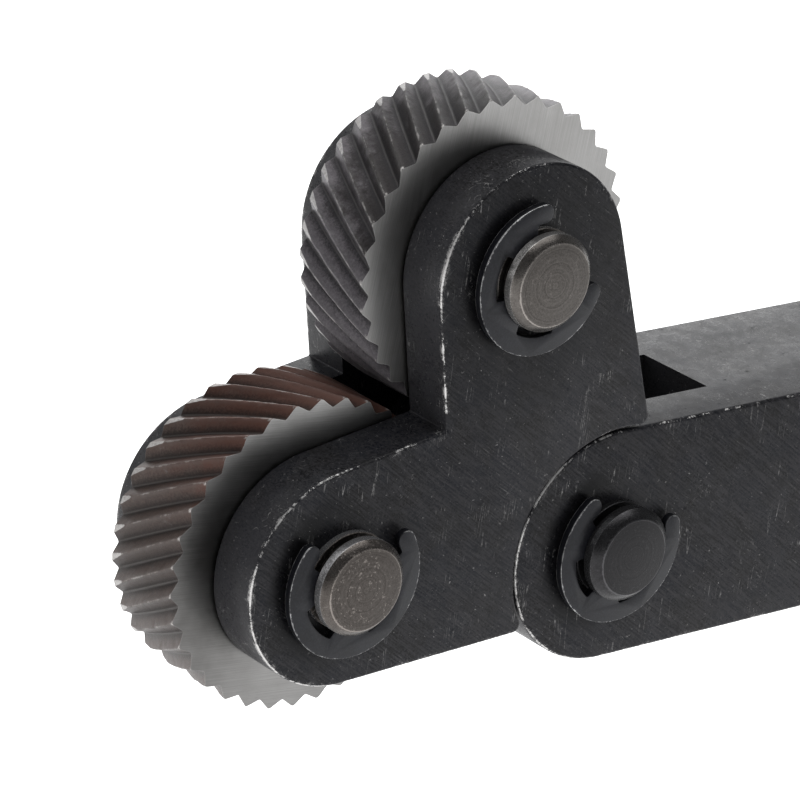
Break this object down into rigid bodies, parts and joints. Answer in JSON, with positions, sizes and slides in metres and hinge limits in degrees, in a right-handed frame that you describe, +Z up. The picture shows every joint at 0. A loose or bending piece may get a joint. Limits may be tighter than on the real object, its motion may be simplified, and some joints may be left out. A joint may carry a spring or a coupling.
{
  "type": "knurling tool",
  "caption": "Lathe knurling tool: a slotted rectangular shank carries a swivelling head with a pair of helical knurling wheels of opposite hand.",
  "frame": {"origin": "middle of the shank's flat underside, on its centre line, where a tool post clamps it", "axes": "+X along the shank to its rear end, +Y across it to the tool's right, +Z up"},
  "size_m": [0.1355, 0.023, 0.0485],
  "materials": {
    "black_steel": "black oxide on machined steel, scuffed bright along the edges",
    "wheel_steel": "ground side faces, hardened teeth with a heat tint",
    "pin_steel": "turned, with fine tool marks on the ends",
    "clip_steel": "blued spring steel"
  },
  "bodies": {
    "shank": {"shank": "black_steel", "pivot_pin": "pin_steel", "pivot_left_clip": "clip_steel", "pivot_right_clip": "clip_steel"},
    "head": {"head": "black_steel", "upper_wheel_pin": "pin_steel", "upper_left_clip": "clip_steel", "upper_right_clip": "clip_steel", "lower_wheel_pin": "pin_steel", "lower_left_clip": "clip_steel", "lower_right_clip": "clip_steel"},
    "upper_wheel": {"upper_wheel": "wheel_steel"},
    "lower_wheel": {"lower_wheel": "wheel_steel"}
  },
  "joints": [
    {"name": "head_pivot", "type": "hinge", "parent": "shank", "child": "head", "pos_m": [-0.054, 0, 0.01], "axis": [0, -1, 0], "range_deg": [0, 71]},
    {"name": "upper_wheel_spin", "type": "hinge", "parent": "head", "child": "upper_wheel", "pos_m": [-0.06545, 0, 0.03512], "axis": [0, 1, 0], "continuous": true},
    {"name": "lower_wheel_spin", "type": "hinge", "parent": "head", "child": "lower_wheel", "pos_m": [-0.08147, 0, 0.01264], "axis": [0, 1, 0], "continuous": true}
  ]
}
